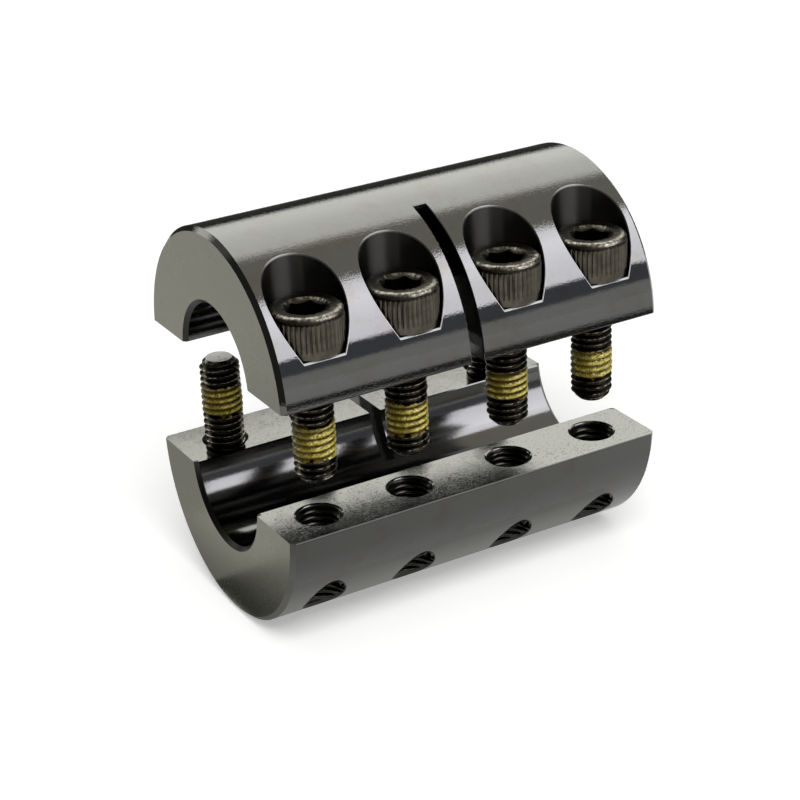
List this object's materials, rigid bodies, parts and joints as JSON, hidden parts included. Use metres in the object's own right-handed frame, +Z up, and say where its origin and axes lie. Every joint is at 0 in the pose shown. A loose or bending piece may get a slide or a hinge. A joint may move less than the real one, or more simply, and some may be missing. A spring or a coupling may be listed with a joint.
{
  "type": "rigid shaft coupling",
  "caption": "Rigid two-piece clamp coupling that joins two round shafts end to end, shown opened with its clamping screws in place.",
  "frame": {"origin": "middle of the lower half's bore axis, which is the shaft axis", "axes": "+X along the shafts, +Y to the back, away from the upper half's screw heads, and +Z up, the way the upper half lifts off"},
  "size_m": [0.05, 0.034, 0.0482],
  "materials": {
    "black_oxide_steel": "black oxide on turned steel, glossy outside and in the bore, satin on the cut faces",
    "screw_steel": "black oxide, oiled, with a knurled head worn bright on its rim",
    "nylon_patch": "sprayed nylon in the thread grooves, satin"
  },
  "bodies": {
    "lower_half": {"lower_half": "black_oxide_steel"},
    "upper_half": {"upper_half": "black_oxide_steel"},
    "front_screw_1": {"front_screw_1": "screw_steel", "front_patch_1": "nylon_patch"},
    "front_screw_2": {"front_screw_2": "screw_steel", "front_patch_2": "nylon_patch"},
    "front_screw_3": {"front_screw_3": "screw_steel", "front_patch_3": "nylon_patch"},
    "front_screw_4": {"front_screw_4": "screw_steel", "front_patch_4": "nylon_patch"},
    "rear_screw_1": {"rear_screw_1": "screw_steel", "rear_patch_1": "nylon_patch"},
    "rear_screw_2": {"rear_screw_2": "screw_steel", "rear_patch_2": "nylon_patch"},
    "rear_screw_3": {"rear_screw_3": "screw_steel", "rear_patch_3": "nylon_patch"},
    "rear_screw_4": {"rear_screw_4": "screw_steel", "rear_patch_4": "nylon_patch"}
  },
  "joints": [
    {"name": "upper_half_lift", "type": "slide", "parent": "lower_half", "child": "upper_half", "axis": [0, 0, 1], "range_m": [-0.0142, 0]},
    {"name": "front_screw_1_draw", "type": "slide", "parent": "upper_half", "child": "front_screw_1", "axis": [0, 0, 1], "range_m": [0, 0.016]},
    {"name": "front_screw_2_draw", "type": "slide", "parent": "upper_half", "child": "front_screw_2", "axis": [0, 0, 1], "range_m": [0, 0.016]},
    {"name": "front_screw_3_draw", "type": "slide", "parent": "upper_half", "child": "front_screw_3", "axis": [0, 0, 1], "range_m": [0, 0.016]},
    {"name": "front_screw_4_draw", "type": "slide", "parent": "upper_half", "child": "front_screw_4", "axis": [0, 0, 1], "range_m": [0, 0.016]},
    {"name": "rear_screw_1_draw", "type": "slide", "parent": "lower_half", "child": "rear_screw_1", "axis": [0, 0, -1], "range_m": [0, 0.016]},
    {"name": "rear_screw_2_draw", "type": "slide", "parent": "lower_half", "child": "rear_screw_2", "axis": [0, 0, -1], "range_m": [0, 0.016]},
    {"name": "rear_screw_3_draw", "type": "slide", "parent": "lower_half", "child": "rear_screw_3", "axis": [0, 0, -1], "range_m": [0, 0.016]},
    {"name": "rear_screw_4_draw", "type": "slide", "parent": "lower_half", "child": "rear_screw_4", "axis": [0, 0, -1], "range_m": [0, 0.016]}
  ]
}
